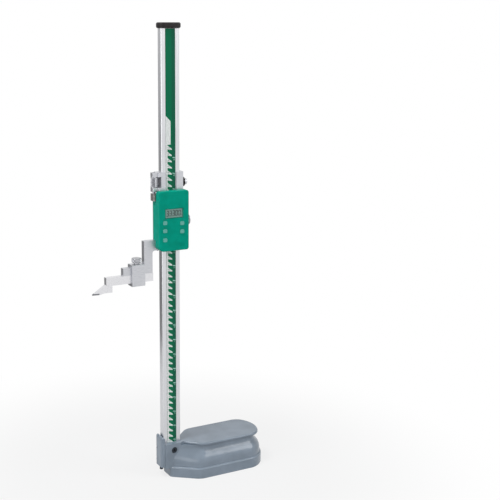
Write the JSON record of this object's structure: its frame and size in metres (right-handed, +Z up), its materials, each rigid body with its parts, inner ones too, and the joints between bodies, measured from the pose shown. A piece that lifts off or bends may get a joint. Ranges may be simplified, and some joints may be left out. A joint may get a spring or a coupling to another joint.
{
  "type": "height gauge",
  "caption": "Electronic height gauge: cast base, flat steel beam with printed scale, display slider with jaw and offset scriber, fine-adjust carriage and clamp knobs.",
  "frame": {"origin": "on the lapped underside of the base, straight below the axis of the beam", "axes": "+Z up along the beam, -Y the display and scale side, -X the way the jaw and scriber point, +X the way the base runs out"},
  "size_m": [0.309, 0.092, 0.7572],
  "materials": {
    "enamel": "semi-gloss blue-grey enamel",
    "beam_steel": "ground, fine lengthwise grain",
    "satin_steel": "satin hard chrome",
    "dark_steel": "blackened",
    "screw_steel": "black oxide",
    "knob_steel": "knurled, bright",
    "carbide": "ground carbide",
    "brass": "plain",
    "circuit_board": "solder mask over glass fibre",
    "scale_print": "printed film",
    "green_shell": "moulded, fine grain",
    "button_plastic": "moulded",
    "black_plastic": "moulded",
    "window_clear": "clear",
    "lcd_glass": "grey-green display",
    "white_plastic": "moulded",
    "pink_rubber": "conductive strip",
    "cell_can": "nickel-plated can",
    "spring_metal": "gold-plated"
  },
  "bodies": {
    "base_and_beam": {"base_casting": "enamel", "beam_clamp_block": "enamel", "clamp_block_screws": "enamel", "block_jack_screw": "screw_steel", "base_front_screw": "screw_steel", "column_beam": "beam_steel", "scale_circuit_strip": "circuit_board", "scale_cover_strip": "scale_print", "top_cap": "black_plastic", "top_cap_screw": "screw_steel"},
    "slider": {"slider_frame": "satin_steel", "gib_strip": "brass", "gib_screws": "screw_steel", "scriber_clamp_box": "satin_steel", "display_housing": "green_shell", "housing_screws": "screw_steel", "display_window": "window_clear", "lcd_glass": "lcd_glass", "lcd_holder": "white_plastic", "elastomer_strips": "pink_rubber", "main_board": "circuit_board", "reader_board": "circuit_board", "key_switches": "spring_metal", "coin_cell": "cell_can", "battery_contacts": "spring_metal", "spindle_anchor": "dark_steel", "anchor_screws": "screw_steel", "fine_spindle": "satin_steel"},
    "carriage": {"carriage_frame": "satin_steel", "carriage_clamp_pad": "brass"},
    "fine_adjust_nut": {"fine_nut": "knob_steel"},
    "carriage_clamp_screw": {"carriage_clamp_collar": "black_plastic", "carriage_clamp_stud": "satin_steel"},
    "slider_lock_screw": {"slider_lock_knob": "knob_steel", "slider_lock_stud": "satin_steel"},
    "scriber": {"scriber_bar": "satin_steel", "scriber_tip": "carbide"},
    "scriber_clamp_screw": {"scriber_clamp_knob": "knob_steel", "scriber_clamp_stud": "satin_steel"},
    "battery_cover": {"battery_cover": "green_shell"},
    "power_button": {"power_button": "button_plastic"},
    "zero_button": {"zero_button": "button_plastic"},
    "unit_button": {"unit_button": "button_plastic"},
    "preset_button": {"preset_button": "button_plastic"},
    "hold_button": {"hold_button": "button_plastic"}
  },
  "joints": [
    {"name": "slider_travel", "type": "slide", "parent": "base_and_beam", "child": "slider", "axis": [0, 0, 1], "range_m": [-0.333, 0.167]},
    {"name": "fine_feed", "type": "slide", "parent": "slider", "child": "carriage", "axis": [0, 0, 1], "range_m": [-0.002, 0.006]},
    {"name": "fine_nut_turn", "type": "hinge", "parent": "carriage", "child": "fine_adjust_nut", "pos_m": [-0.0272, 0, 0.50765], "axis": [0, 0, 1], "range_deg": [-900, 2700]},
    {"name": "carriage_clamp_turn", "type": "hinge", "parent": "carriage", "child": "carriage_clamp_screw", "pos_m": [0.027, 0, 0.5053], "axis": [1, 0, 0], "range_deg": [0, 360]},
    {"name": "slider_lock_turn", "type": "hinge", "parent": "slider", "child": "slider_lock_screw", "pos_m": [0.03, 0, 0.4422], "axis": [1, 0, 0], "range_deg": [0, 360]},
    {"name": "scriber_slide", "type": "slide", "parent": "slider", "child": "scriber", "axis": [-1, 0, 0], "range_m": [-0.004, 0.014]},
    {"name": "scriber_clamp_turn", "type": "hinge", "parent": "slider", "child": "scriber_clamp_screw", "pos_m": [-0.0585, 0.00125, 0.3816], "axis": [0, 0, 1], "range_deg": [0, 360]},
    {"name": "battery_cover_slide", "type": "slide", "parent": "slider", "child": "battery_cover", "axis": [0, 0, -1], "range_m": [0, 0.024]},
    {"name": "power_button_press", "type": "slide", "parent": "slider", "child": "power_button", "axis": [0, 1, 0], "range_m": [0, 0.0005], "stiffness_N_per_m": 2500, "springref_m": -0.0002},
    {"name": "zero_button_press", "type": "slide", "parent": "slider", "child": "zero_button", "axis": [0, 1, 0], "range_m": [0, 0.0005], "stiffness_N_per_m": 2500, "springref_m": -0.0002},
    {"name": "unit_button_press", "type": "slide", "parent": "slider", "child": "unit_button", "axis": [0, 1, 0], "range_m": [0, 0.0005], "stiffness_N_per_m": 2500, "springref_m": -0.0002},
    {"name": "preset_button_press", "type": "slide", "parent": "slider", "child": "preset_button", "axis": [0, 1, 0], "range_m": [0, 0.0005], "stiffness_N_per_m": 2500, "springref_m": -0.0002},
    {"name": "hold_button_press", "type": "slide", "parent": "slider", "child": "hold_button", "axis": [0, 1, 0], "range_m": [0, 0.0005], "stiffness_N_per_m": 2500, "springref_m": -0.0002}
  ],
  "couplings": [
    {"joint": "fine_nut_turn", "follows": "fine_feed", "rad_per_m": 7854}
  ]
}
